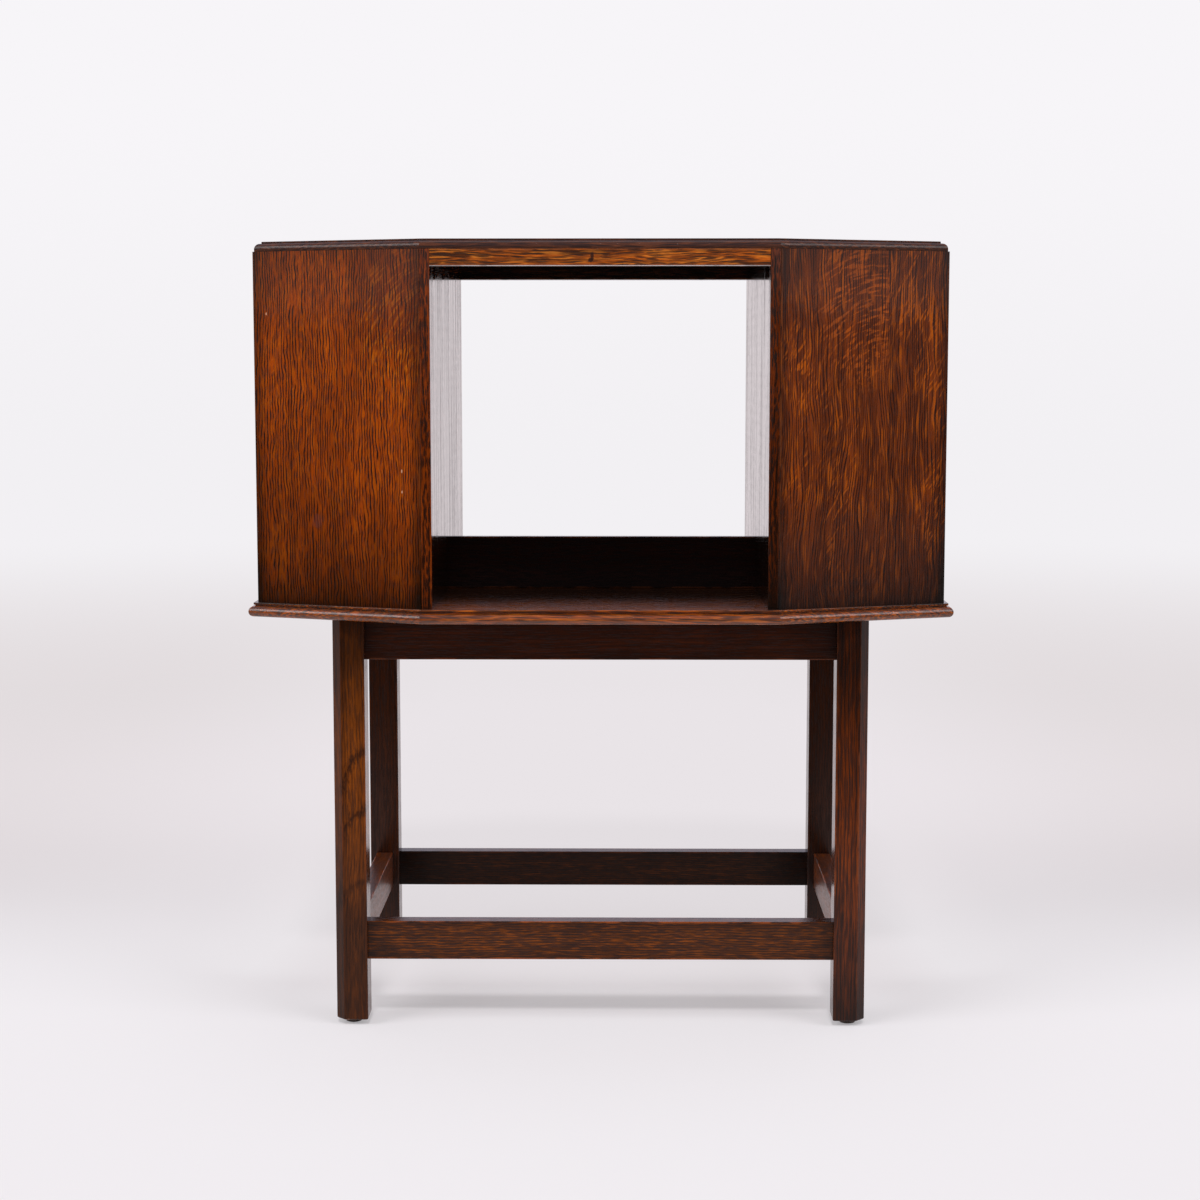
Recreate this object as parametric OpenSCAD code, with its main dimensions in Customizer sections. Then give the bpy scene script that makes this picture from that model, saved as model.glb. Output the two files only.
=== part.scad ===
// Side table bookcase: an eight-sided open case of stained oak on a joined frame with four legs.
// Millimetres. The origin is on the ground under the middle of the case.
// X runs along the width, Y runs to the back and Z runs up.

/* [Case] */
// Width over the corners of the canted panels
case_w = 612; // [560:1:680]
// Depth from the front face to the back face
case_d = 375; // [345:1:430]
// Height from the ground to the table top
table_h = 699; // [640:1:760]
// Height from the ground to the upper face of the floor board
shelf_h = 380.3; // [340:0.1:420]
// Clear width of the through bay between the two inner walls
bay_w = 291; // [255:1:330]
// How far back each canted panel runs from the front or back face
cant_depth = 57; // [45:1:75]
// Thickness of the two inner walls
wall_t = 9; // [8:0.5:13]
// Thickness of the four canted panels
panel_t = 9.5; // [8:0.5:13]
// Thickness of the low divider between the front and back bays
divider_t = 9.5; // [8:0.5:14]
// Height of the low divider above the floor board
divider_h = 49; // [30:1:80]
// Height of the rails under the top
rail_h = 14; // [12:0.5:24]
// Thickness of the rails under the top
rail_t = 19; // [15:0.5:26]

/* [Top board] */
// Thickness of the top board
top_t = 9; // [8.5:0.5:16]
// How far the top board's lower edge stands back from the faces of the case
top_inset = 1.3; // [0.5:0.1:3]
// Radius of the rounded moulding on the top board's edge
ovolo_r = 5; // [3:0.5:6]
// Width of the flat step above the rounded moulding
top_step_w = 1; // [0.5:0.1:2]
// Height of the square step above the rounded moulding
top_step_h = 1.8; // [1:0.1:2.2]

/* [Floor board] */
// Thickness of the floor board
floor_t = 12.5; // [12:0.5:18]
// How far the round nose stands out from the faces of the case
nose_reach = 8; // [6.5:0.5:11]
// Radius of the round nose
nose_r = 4.65; // [3.5:0.05:4.8]
// How far the square fillet above the nose stands out from the faces of the case
fillet_reach = 3.7; // [2.6:0.1:5]
// Height of the square fillet
fillet_h = 1.8; // [1:0.1:2.2]
// Depth of the sunk quirk line under the fillet
quirk_d = 1.3; // [0.6:0.1:2]

/* [Frame] */
// Distance of the legs' outer faces in from the side faces of the case
frame_in_x = 68.5; // [55:0.5:80]
// Distance of the legs' outer faces in from the front and back faces of the case
frame_in_y = 31; // [28:0.5:45]
// Side of the square legs
leg_w = 28.7; // [26:0.1:36]
// Chamfer on each leg's outer corner, measured along a face
leg_chamfer = 7.5; // [3:0.5:9]
// Small chamfer round the foot of each leg
foot_ease = 1.5; // [0.5:0.1:3]
// Height of the aprons
apron_h = 36.3; // [30:0.1:60]
// Thickness of the aprons
apron_t = 16; // [13:0.5:18]
// Height of the stretchers
stretcher_h = 34.8; // [25:0.1:50]
// Thickness of the stretchers
stretcher_t = 16; // [13:0.5:18]
// Height from the ground to the lower edges of the stretchers
stretcher_z = 59.6; // [40:0.1:140]
// Setback of the aprons and stretchers from the outer faces of the legs
rail_set = 6.3; // [4:0.1:8]
// Reach of the corner blocks along the aprons
block_reach = 44; // [38:1:60]
// Height of the corner blocks
block_h = 22; // [16:1:28]

/* [Feet] */
// Diameter of the foot glides
glide_dia = 16; // [12:0.5:20]
// Height of the foot glides
glide_h = 5; // [4:0.5:8]
// Diameter of the flat that a glide stands on
glide_flat = 8; // [5:0.5:10]
// Height of the straight rim of a glide
glide_rim = 1.4; // [0.8:0.2:2]
// Diameter of the pin that holds a glide in its leg
glide_pin_dia = 2.4; // [2:0.1:3]
// Length of that pin
glide_pin_len = 13; // [8:1:20]

/* [Joinery] */
// Thickness of the tongues on the walls and panels
tongue_t = 5; // [3:0.5:6]
// Length of the tongues, which is also the depth that the divider is housed
tongue_len = 3; // [2:0.5:4]
// Distance that the tongues stop short of a visible edge
tongue_stop = 12; // [10:1:20]
// Length of the stub tenons on the front and back rails under the top
stub_len = 4; // [2:0.5:5]
// Thickness of those stub tenons
stub_t = 9; // [6:0.5:12]
// Shoulder above and below those stub tenons
stub_shoulder = 3; // [2:0.5:4]
// Thickness of the tenons on the aprons and stretchers
tenon_t = 8; // [6:0.5:9]
// Haunch cut from the top of each apron tenon
haunch_h = 8; // [5:0.5:12]
// Shoulder at the edges of the other tenons
tenon_shoulder = 3.5; // [2:0.5:6]
// Room left round a tongue or tenon for the glue
joint_gap = 0.15; // [0.05:0.05:0.3]

/* [Screws] */
// Shank diameter of the screws up through the rails into the top
top_screw_dia = 3.5; // [3:0.1:4]
// How far those screws bite into the top board
top_screw_bite = 5; // [4:0.5:6]
// Distance of the front and back rail screws from the middle
top_screw_x = 100; // [40:1:115]
// Distance of the side rail screws from the middle
top_screw_y = 70; // [30:1:90]
// Shank diameter of the screws up through the corner blocks
base_screw_dia = 4.2; // [3.5:0.1:5]
// How far those screws bite into the floor board
base_screw_bite = 9; // [6:0.5:10]
// Room round a screw in its hole
screw_gap = 0.1; // [0.05:0.05:0.2]

/* [Hidden] */
$fn = 64;
over = 1;
half_w = case_w / 2;
half_d = case_d / 2;
face_half = bay_w / 2 + wall_t;
side_half = half_d - cant_depth;
cant_run = half_w - face_half;
cant_slope = cant_depth / cant_run;
cant_angle = atan(cant_slope);
cant_reach = half_w * sin(cant_angle) + side_half * cos(cant_angle);
frame_w = case_w - 2 * frame_in_x;
frame_d = case_d - 2 * frame_in_y;
corner_ease = 1.4 * foot_ease;
top_under = table_h - top_t;
floor_under = shelf_h - floor_t;
rail_under = top_under - rail_h;
apron_under = floor_under - apron_h;
block_corner = rail_set + apron_t;
block_screw = (leg_w + block_corner + block_reach / 2) / 2;

// Moves a shape drawn for the right or the back to the left or the front.
module to_side(x_side, y_side) {
    mirror([x_side < 0 ? 1 : 0, 0, 0]) mirror([0, y_side < 0 ? 1 : 0, 0]) children();
}

// A countersunk slotted screw that points up, with its head's face at z = 0.
module screw(dia, length) {
    head_h = 0.6 * dia;
    slot_w = 0.25 * dia;
    slot_d = 0.3 * dia;
    difference() {
        rotate_extrude() polygon([
            [0, 0], [dia, 0], [dia / 2, head_h], [dia / 2, length - dia], [0, length]
        ]);
        translate([-dia - over, -slot_w / 2, -over]) cube([2 * (dia + over), slot_w, over + slot_d]);
    }
}

// The hole for that screw, with room round its head and shank.
module screw_hole(dia, length) {
    head_h = 0.6 * dia;
    shank_r = dia / 2 + screw_gap;
    head_r = dia + screw_gap;
    rotate_extrude() polygon([
        [0, -over], [head_r, -over], [head_r, 0],
        [shank_r, head_h], [shank_r, length + screw_gap], [0, length + screw_gap]
    ]);
}

module top_screw_places() {
    for (x = [-1, 1], y = [-1, 1]) {
        translate([x * top_screw_x, y * (half_d - rail_t / 2), rail_under]) children();
        translate([x * (half_w - rail_t / 2), y * top_screw_y, rail_under]) children();
    }
}

// A long board whose section is drawn by children(), laid along one pair of the eight sides.
// $reach tells the section how far the faces of the case lie from the middle there.
module across(angle, reach) {
    $reach = reach;
    rotate([0, 0, angle]) rotate([90, 0, 0])
        linear_extrude(height = 2 * (case_w + case_d), center = true) children();
}

// What four such boards share: an eight-sided board whose edge moulding is mitred at each corner.
module mitred() {
    intersection() {
        across(0, half_w) children();
        across(90, half_d) children();
        across(90 - cant_angle, cant_reach) children();
        across(cant_angle - 90, cant_reach) children();
    }
}

// The eight-sided plan of the case, moved outwards by a distance, or inwards if it is negative.
module case_plan(out) {
    wide = half_w + out;
    deep = half_d + out;
    corner_x = (cant_reach + out - deep * cos(cant_angle)) / sin(cant_angle);
    corner_y = (cant_reach + out - wide * sin(cant_angle)) / cos(cant_angle);
    polygon([
        [corner_x, -deep], [wide, -corner_y], [wide, corner_y], [corner_x, deep],
        [-corner_x, deep], [-wide, corner_y], [-wide, -corner_y], [-corner_x, -deep]
    ]);
}

// Section of the top board below its step: a quarter round over a short straight edge.
module top_section() {
    edge = $reach - top_inset;
    straight_h = top_t - top_step_h - ovolo_r;
    round_h = straight_h + ovolo_r;
    intersection() {
        union() {
            translate([-edge, 0]) square([2 * edge, straight_h]);
            translate([-edge + ovolo_r, 0]) square([2 * (edge - ovolo_r), round_h]);
            for (side = [-1, 1]) translate([side * (edge - ovolo_r), straight_h]) circle(ovolo_r);
        }
        translate([-edge, 0]) square([2 * edge, round_h]);
    }
}

// Section of the floor board's round nose.
module nose_section() {
    nose_half = $reach + nose_reach - nose_r;
    translate([-nose_half, 0]) square([2 * nose_half, 2 * nose_r]);
    intersection() {
        for (side = [-1, 1]) translate([side * nose_half, nose_r]) circle(nose_r);
        translate([-nose_half - nose_r, 0]) square([2 * (nose_half + nose_r), 2 * nose_r]);
    }
}

// Plan of one inner wall's tongue, on the right.
module wall_tongue_plan(gap) {
    translate([face_half - wall_t / 2 - tongue_t / 2 - gap, -half_d + tongue_stop - gap])
        square([tongue_t + 2 * gap, case_d - 2 * tongue_stop + 2 * gap]);
}

// Plan of a strip of the back right canted panel, between two depths from its outer face.
// The ends stand off the wall and off the side face by the stop.
module cant_plan(near, far, stop) {
    near_y = half_d - near / cos(cant_angle);
    far_y = half_d - far / cos(cant_angle);
    polygon([
        [face_half + stop, near_y - cant_slope * stop],
        [half_w - stop, near_y - cant_slope * (cant_run - stop)],
        [half_w - stop, far_y - cant_slope * (cant_run - stop)],
        [face_half + stop, far_y - cant_slope * stop]
    ]);
}

module cant_tongue_plan(gap) {
    near = (panel_t - tongue_t) / 2;
    cant_plan(near - gap, near + tongue_t + gap, tongue_stop - gap);
}

// The grooves that the tongues of the walls and panels stand in.
module housings(depth) {
    linear_extrude(height = depth) {
        for (x = [-1, 1]) to_side(x, 1) wall_tongue_plan(joint_gap);
        for (x = [-1, 1], y = [-1, 1]) to_side(x, y) cant_tongue_plan(joint_gap);
    }
}

// The top board, with its square step standing on the rounded moulding.
module top_board() {
    step_under = top_t - top_step_h - ovolo_r;
    color([0.24, 0.11, 0.06]) difference() {
        translate([0, 0, top_under]) {
            mitred() top_section();
            translate([0, 0, step_under]) linear_extrude(height = top_t - step_under)
                case_plan(-top_inset - ovolo_r - top_step_w);
        }
        translate([0, 0, top_under - over]) housings(over + tongue_len + joint_gap);
        top_screw_places() screw_hole(top_screw_dia, rail_h + top_screw_bite);
    }
}

// The floor board, with a sunk quirk line between its round nose and its square fillet.
module floor_board() {
    color([0.42, 0.19, 0.09]) difference() {
        translate([0, 0, floor_under]) {
            mitred() nose_section();
            translate([0, 0, nose_r]) linear_extrude(height = floor_t - fillet_h - nose_r)
                case_plan(fillet_reach - quirk_d);
            translate([0, 0, floor_t - fillet_h]) linear_extrude(height = fillet_h)
                case_plan(fillet_reach);
        }
        translate([0, 0, shelf_h - tongue_len - joint_gap]) housings(over + tongue_len + joint_gap);
        base_screw_places() screw_hole(base_screw_dia, block_h + base_screw_bite);
    }
}

// A canted panel: its ends seat flat on the inner wall and finish flush with the side face.
module canted_panel(x_side, y_side) {
    color([0.40, 0.17, 0.08]) to_side(x_side, y_side) {
        translate([0, 0, shelf_h]) linear_extrude(height = top_under - shelf_h)
            cant_plan(0, panel_t, 0);
        translate([0, 0, shelf_h - tongue_len])
            linear_extrude(height = top_under - shelf_h + 2 * tongue_len) cant_tongue_plan(0);
    }
}

// An inner wall, mortised for the rails under the top and housed for the divider.
module inner_wall(x_side) {
    color([0.30, 0.14, 0.08]) to_side(x_side, 1) difference() {
        union() {
            translate([bay_w / 2, -half_d, shelf_h]) cube([wall_t, case_d, top_under - shelf_h]);
            translate([0, 0, shelf_h - tongue_len])
                linear_extrude(height = top_under - shelf_h + 2 * tongue_len) wall_tongue_plan(0);
        }
        for (y = [-1, 1]) to_side(1, y) rail_stub(joint_gap);
        translate([bay_w / 2 - over, -divider_t / 2 - joint_gap, shelf_h - over])
            cube([over + tongue_len + joint_gap, divider_t + 2 * joint_gap,
                over + divider_h + joint_gap]);
    }
}

module centre_divider() {
    half = bay_w / 2 + tongue_len;
    color([0.16, 0.08, 0.05]) translate([-half, -divider_t / 2, shelf_h])
        cube([2 * half, divider_t, divider_h]);
}

// The stub tenon at the right end of the back rail, grown by a gap for its mortise.
module rail_stub(gap) {
    translate([bay_w / 2 - over, half_d - (rail_t + stub_t) / 2 - gap, rail_under + stub_shoulder - gap])
        cube([over + stub_len + gap, stub_t + 2 * gap, rail_h - 2 * stub_shoulder + 2 * gap]);
}

// A rail under the top between the inner walls, at the front or the back.
module top_rail(y_side) {
    color([0.52, 0.25, 0.11]) to_side(1, y_side) difference() {
        union() {
            translate([-bay_w / 2, half_d - rail_t, rail_under]) cube([bay_w, rail_t, rail_h]);
            for (x = [-1, 1]) to_side(x, 1) rail_stub(0);
        }
        top_screw_places() screw_hole(top_screw_dia, rail_h + top_screw_bite);
    }
}

// A rail under the top between two canted panels, its ends cut to their inner faces.
module side_rail(x_side) {
    outer_y = side_half - panel_t / cos(cant_angle);
    inner_y = outer_y + cant_slope * rail_t;
    color([0.46, 0.22, 0.10]) to_side(x_side, 1) difference() {
        translate([0, 0, rail_under]) linear_extrude(height = rail_h) polygon([
            [half_w, -outer_y], [half_w, outer_y],
            [half_w - rail_t, inner_y], [half_w - rail_t, -inner_y]
        ]);
        top_screw_places() screw_hole(top_screw_dia, rail_h + top_screw_bite);
    }
}

// Places a shape drawn from the back right leg's outer corner, inwards along both faces.
module from_corner(x_side, y_side) {
    to_side(x_side, y_side) translate([frame_w / 2, frame_d / 2, 0]) rotate([0, 0, 180]) children();
}

// Plan of a tenon that runs along X into a leg, with its end mitred on the leg's diagonal.
module tenon_plan(near, gap) {
    far = near + tenon_t;
    polygon([
        [leg_w + over, near], [leg_w + over, far], [far + gap, far], [near + gap, near]
    ]);
}

// The two mortises that meet inside a leg, for tenons whose near faces lie at this depth.
module mortise_pair(near, z_low, z_high) {
    side = tenon_t + 2 * joint_gap;
    reach = leg_w + over - near + joint_gap;
    start = near - joint_gap;
    translate([0, 0, z_low - joint_gap])
        linear_extrude(height = z_high - z_low + 2 * joint_gap) {
            translate([start, start]) square([reach, side]);
            translate([start, start]) square([side, reach]);
        }
}

function tenon_near(thickness) = rail_set + (thickness - tenon_t) / 2;

// A slab as tall as a leg, from near to far along X, with its two lower edges eased.
module leg_slab(near, far, ease) {
    rotate([90, 0, 0]) linear_extrude(height = 4 * leg_w, center = true) polygon([
        [near + ease, glide_h], [far - ease, glide_h], [far, glide_h + ease],
        [far, floor_under], [near, floor_under], [near, glide_h + ease]
    ]);
}

// A leg is what a slab along X, one along Y and one along the chamfered corner's diagonal share.
module leg(x_side, y_side) {
    color([0.30, 0.15, 0.08]) from_corner(x_side, y_side) difference() {
        intersection() {
            leg_slab(0, leg_w, foot_ease);
            rotate([0, 0, 90]) leg_slab(0, leg_w, foot_ease);
            rotate([0, 0, 45]) leg_slab(leg_chamfer / sqrt(2), 2 * leg_w, corner_ease);
        }
        mortise_pair(tenon_near(apron_t), apron_under + tenon_shoulder, floor_under - haunch_h);
        mortise_pair(tenon_near(stretcher_t), stretcher_z + tenon_shoulder,
            stretcher_z + stretcher_h - tenon_shoulder);
        translate([leg_w / 2, leg_w / 2, glide_h - over])
            cylinder(r = glide_pin_dia / 2 + screw_gap, h = over + glide_pin_len + screw_gap);
    }
}

// A board between two legs with a mitred tenon at each end, drawn along X at the back.
// span is the distance over the outer faces of the legs, and set is that of the other pair.
module joined_rail(span, set, thickness, height, z_low, tenon_low, tenon_high) {
    translate([-span / 2 + leg_w, set - rail_set - thickness, z_low])
        cube([span - 2 * leg_w, thickness, height]);
    for (x = [-1, 1]) to_side(x, 1) translate([span / 2, set, tenon_low]) rotate([0, 0, 180])
        linear_extrude(height = tenon_high - tenon_low)
            tenon_plan(tenon_near(thickness), joint_gap);
}

module apron(span, set) {
    color([0.32, 0.15, 0.08]) joined_rail(span, set, apron_t, apron_h, apron_under,
        apron_under + tenon_shoulder, floor_under - haunch_h);
}

module stretcher(span, set) {
    color([0.34, 0.15, 0.08]) joined_rail(span, set, stretcher_t, stretcher_h, stretcher_z,
        stretcher_z + tenon_shoulder, stretcher_z + stretcher_h - tenon_shoulder);
}

// A glue block behind a leg, bored for the screw that holds the frame to the floor board.
module corner_block(x_side, y_side) {
    color([0.55, 0.38, 0.22]) from_corner(x_side, y_side) difference() {
        translate([0, 0, floor_under - block_h]) linear_extrude(height = block_h) difference() {
            polygon([
                [block_corner, block_corner],
                [block_corner + block_reach, block_corner],
                [block_corner, block_corner + block_reach]
            ]);
            square(leg_w + joint_gap);
        }
        translate([block_screw, block_screw, floor_under - block_h])
            screw_hole(base_screw_dia, block_h + base_screw_bite);
    }
}

// A domed metal glide on a pin, under the middle of a leg.
module foot_glide(x_side, y_side) {
    glide_r = glide_dia / 2;
    pin_r = glide_pin_dia / 2;
    flat_r = glide_flat / 2;
    shoulder_r = (glide_r + flat_r) / 2 + 1;
    color([0.10, 0.09, 0.08]) from_corner(x_side, y_side) translate([leg_w / 2, leg_w / 2, 0])
        rotate_extrude() polygon([
            [0, 0], [flat_r, 0], [shoulder_r, 0.2 * glide_h],
            [glide_r - 0.6, 0.5 * (glide_h - glide_rim)], [glide_r, glide_h - glide_rim],
            [glide_r, glide_h], [pin_r, glide_h], [pin_r, glide_h + glide_pin_len - pin_r],
            [0, glide_h + glide_pin_len]
        ]);
}

module base_screw_places() {
    for (x = [-1, 1], y = [-1, 1]) from_corner(x, y)
        translate([block_screw, block_screw, floor_under - block_h]) children();
}

module top_screws() {
    color([0.55, 0.47, 0.30]) top_screw_places() screw(top_screw_dia, rail_h + top_screw_bite);
}

module base_screws() {
    color([0.55, 0.47, 0.30]) base_screw_places() screw(base_screw_dia, block_h + base_screw_bite);
}

top_board();
floor_board();
canted_panel(-1, -1);  // canted_panel_front_left
canted_panel(1, -1);  // canted_panel_front_right
canted_panel(-1, 1);  // canted_panel_back_left
canted_panel(1, 1);  // canted_panel_back_right
inner_wall(-1);  // inner_wall_left
inner_wall(1);  // inner_wall_right
centre_divider();
top_rail(-1);  // top_rail_front
top_rail(1);  // top_rail_back
side_rail(-1);  // top_rail_left
side_rail(1);  // top_rail_right
leg(-1, -1);  // leg_front_left
leg(1, -1);  // leg_front_right
leg(-1, 1);  // leg_back_left
leg(1, 1);  // leg_back_right
to_side(1, -1) apron(frame_w, frame_d / 2);  // apron_front
apron(frame_w, frame_d / 2);  // apron_back
rotate([0, 0, 90]) apron(frame_d, frame_w / 2);  // apron_left
rotate([0, 0, -90]) apron(frame_d, frame_w / 2);  // apron_right
to_side(1, -1) stretcher(frame_w, frame_d / 2);  // stretcher_front
stretcher(frame_w, frame_d / 2);  // stretcher_back
rotate([0, 0, 90]) stretcher(frame_d, frame_w / 2);  // stretcher_left
rotate([0, 0, -90]) stretcher(frame_d, frame_w / 2);  // stretcher_right
corner_block(-1, -1);  // corner_block_front_left
corner_block(1, -1);  // corner_block_front_right
corner_block(-1, 1);  // corner_block_back_left
corner_block(1, 1);  // corner_block_back_right
foot_glide(-1, -1);  // foot_glide_front_left
foot_glide(1, -1);  // foot_glide_front_right
foot_glide(-1, 1);  // foot_glide_back_left
foot_glide(1, 1);  // foot_glide_back_right
top_screws();
base_screws();
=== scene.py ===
import bpy
import numpy as np
from mathutils import Matrix, Vector


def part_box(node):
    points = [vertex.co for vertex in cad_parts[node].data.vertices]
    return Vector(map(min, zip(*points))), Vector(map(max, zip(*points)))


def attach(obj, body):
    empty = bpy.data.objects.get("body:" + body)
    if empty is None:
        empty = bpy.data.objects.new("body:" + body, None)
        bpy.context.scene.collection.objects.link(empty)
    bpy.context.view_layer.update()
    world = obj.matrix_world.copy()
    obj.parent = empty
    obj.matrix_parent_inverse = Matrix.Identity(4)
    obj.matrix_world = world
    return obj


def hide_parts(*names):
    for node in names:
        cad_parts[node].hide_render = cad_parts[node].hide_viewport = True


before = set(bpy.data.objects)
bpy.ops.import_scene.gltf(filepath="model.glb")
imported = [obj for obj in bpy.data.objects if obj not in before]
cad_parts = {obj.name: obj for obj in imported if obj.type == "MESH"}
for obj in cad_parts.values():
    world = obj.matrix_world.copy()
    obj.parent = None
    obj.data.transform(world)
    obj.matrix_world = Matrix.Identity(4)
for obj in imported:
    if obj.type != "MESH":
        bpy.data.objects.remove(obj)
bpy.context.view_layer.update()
mm = 0.001
print("frame loaded:", len(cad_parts), "pieces")


# Places are read from the frame. The table is symmetric about x = 0 and about y = 0.
def low(node):
    return np.array(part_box(node)[0])


def high(node):
    return np.array(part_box(node)[1])


sideSigns = {"left": -1, "right": 1}
endSigns = {"front": -1, "back": 1}
alongX, alongY, alongZ = (1, 0, 0), (0, 1, 0), (0, 0, 1)
halfWidth, halfDepth = high("canted_panel_back_right")[:2]
bayHalf, faceHalf = low("inner_wall_right")[0], high("inner_wall_right")[0]
shelfTop, topUnder = high("floor_board")[2], low("top_board")[2]
floorLow, topHigh = low("floor_board")[2], high("top_board")[2]
legFoot = low("leg_back_right")[2]

case = {
    "cantDepth": 57 * mm,      # how far back a canted panel runs
    "panelThickness": 9.5 * mm,
    "arris": 0.7 * mm,         # rounding of the worn edges
    "arrisWear": 0.12,         # share by which that rounding goes up and down along an edge
    "wearWave": 61,            # radians of that change for each metre along
    "wearTurn": 1.7,           # radians from one edge to the next
    "railArris": 0.5 * mm,
    "ringStep": 12 * mm,       # distance between the rings of a straight piece
}
sideHalf = halfDepth - case["cantDepth"]
cantRun = halfWidth - faceHalf
cantAngle = np.arctan2(case["cantDepth"], cantRun)
feather = 12 * mm              # the edge attribute rises from 0 on an arris to 1 at this distance
featherMost = 0.4              # on a narrow side, the share of its width that feather may take
arcParts = 4                   # steps round an arris


# A section's corners run anticlockwise. A side's outward normal is its direction turned right.
def sideNormals(corners):
    along = np.roll(corners, -1, 0) - corners
    along = along / np.linalg.norm(along, axis=1)[:, None]
    return np.stack([along[:, 1], -along[:, 0]], 1)


# Rings of a section with round corners, one ring for each entry of out.
# A corner's arc centre is the corner moved by (out - radius)(n1 + n2)/(1 + n1.n2), and its points are
# centre + radius (cos a, sin a), with a running from the angle of normal n1 to that of n2.
def sectionRings(corners, out, radius):
    after = sideNormals(corners)
    before = np.roll(after, 1, 0)
    spread = (before + after) / (1 + (before * after).sum(1))[:, None]
    turn = np.arctan2(before[:, 0] * after[:, 1] - before[:, 1] * after[:, 0], (before * after).sum(1))
    first = np.arctan2(before[:, 1], before[:, 0])
    angle = first[:, None] + turn[:, None] * np.linspace(0, 1, arcParts + 1)
    normal = np.stack([np.cos(angle), np.sin(angle)], -1)
    centre = corners + (out[:, None] - radius)[..., None] * spread
    arcs = centre[:, :, None] + radius[..., None, None] * normal
    start, end = arcs[:, :, -1], np.roll(arcs[:, :, 0], -1, 1)
    length = np.linalg.norm(end - start, axis=-1)[..., None]
    reach = np.minimum(feather, featherMost * length)
    flat = np.stack([start + (end - start) / length * reach, end - (end - start) / length * reach], 2)
    rings, count = len(out), len(corners) * (arcParts + 3)
    points = np.concatenate([arcs, flat], 2).reshape(rings, count, 2)
    normals = np.concatenate([normal, np.stack([after, after], 1)], 1).reshape(count, 2)
    edge = np.concatenate([0 * arcs[..., 0], np.repeat(reach, 2, 2) / feather], 2).reshape(rings, count)
    return points, normals, edge


# A profile is a list of bands (start, end, start normal, end normal) in the plane (outwards, along).
def straight(start, end, parts=1):
    # Equal steps from start to end. The normal is the direction turned right.
    start, end = np.array(start, float), np.array(end, float)
    along = (end - start) / np.linalg.norm(end - start)
    normal = np.array([along[1], -along[0]])
    steps = start + (end - start) * np.linspace(0, 1, parts + 1)[:, None]
    return [(a, b, normal, normal) for a, b in zip(steps[:-1], steps[1:])]


def curved(centre, radius, first, last, parts):
    # Points centre + radius (cos a, sin a), a from first to last in degrees.
    angle = np.radians(np.linspace(first, last, parts + 1))
    normal = np.stack([np.cos(angle), np.sin(angle)], 1)
    points = np.array(centre) + radius * normal
    return list(zip(points[:-1], points[1:], normal[:-1], normal[1:]))


def spaced(start, end, step=case["ringStep"]):
    return max(1, int(round(abs(end - start) / step)))


# The quads of a grid of closed rings: point c of ring r, its next in the ring, and both on ring r + 1.
def ringQuads(rings, count):
    row, column = np.meshgrid(np.arange(rings - 1), np.arange(count), indexing="ij")
    following = (column + 1) % count
    return np.stack([row * count + column, row * count + following,
                     (row + 1) * count + following, (row + 1) * count + column], -1).reshape(-1, 4)


def linked(name, data):
    made = bpy.data.objects.new(name, data)
    bpy.context.scene.collection.objects.link(made)
    return made


# The ring of a section is carried along a profile: point = section(outwards) + along * axis.
# Flat caps close both ends, and each band keeps its own normals, so flat faces shade flat. The rounding
# of the corners swells and thins in a sine wave, as wear does.
# The edge attribute is the distance to the nearest arris over feather. On a moulding the arrises are
# points of the profile. The shade attribute is a function of x, y and z.
def loftPiece(name, corners, profile, axis="z", radius=None, arrises=None, shade=None):
    corners = np.array(corners, float)
    stops = np.array([band[0] for band in profile] + [profile[-1][1]])
    out, station = stops.T
    base = case["arris"] if radius is None else radius
    turns = case["wearTurn"] * np.arange(len(corners)) + len(name)
    wave = np.sin(station[:, None] * case["wearWave"] + turns)
    rounding = np.broadcast_to(base, (len(out), len(corners))) * (1 + case["arrisWear"] * wave)
    points, normals, edge = sectionRings(corners, out, rounding)
    rings, count = edge.shape
    order = {"z": [0, 1, 2], "x": [1, 2, 0], "y": [2, 0, 1]}[axis]
    place = np.zeros((rings, count, 3))
    place[..., order[:2]] = points
    place[..., order[2]] = station[:, None]
    if arrises is not None:
        nearest = np.linalg.norm(stops[:, None] - np.array(arrises), axis=-1).min(1)
        edge = np.broadcast_to(nearest[:, None] / feather, edge.shape)

    caps = [list(range(count - 1, -1, -1)), list(range((rings - 1) * count, rings * count))]
    mesh = bpy.data.meshes.new(name)
    mesh.from_pydata(place.reshape(-1, 3).tolist(), [], ringQuads(rings, count).tolist() + caps)

    bandNormals = np.array([[band[2], band[3]] for band in profile])
    loopNormals = np.zeros((rings - 1, count, 4, 3))
    for corner, (end, shift) in enumerate([(0, 0), (0, -1), (1, -1), (1, 0)]):
        loopNormals[:, :, corner, order[:2]] = bandNormals[:, None, end, :1] * np.roll(normals, shift, 0)
        loopNormals[:, :, corner, order[2]] = bandNormals[:, None, end, 1]
    capNormals = np.zeros((2, count, 3))
    capNormals[:, :, order[2]] = [[-1], [1]]
    allNormals = np.concatenate([loopNormals.reshape(-1, 3), capNormals.reshape(-1, 3)])
    allNormals = allNormals / np.linalg.norm(allNormals, axis=1)[:, None]
    mesh.shade_smooth()
    mesh.normals_split_custom_set(allNormals.tolist())

    values = {"edge": edge, "shade": 0 * edge if shade is None else shade(*np.moveaxis(place, -1, 0))}
    for label, value in values.items():
        mesh.attributes.new(label, "FLOAT", "POINT").data.foreach_set(
            "value", np.clip(value, 0, 1).astype(np.float32).ravel())
    return linked(name, mesh)


def fit(piece, slot, material, *nodes):
    piece.data.materials.append(material)
    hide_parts(*nodes)
    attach(piece, "root")


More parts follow.
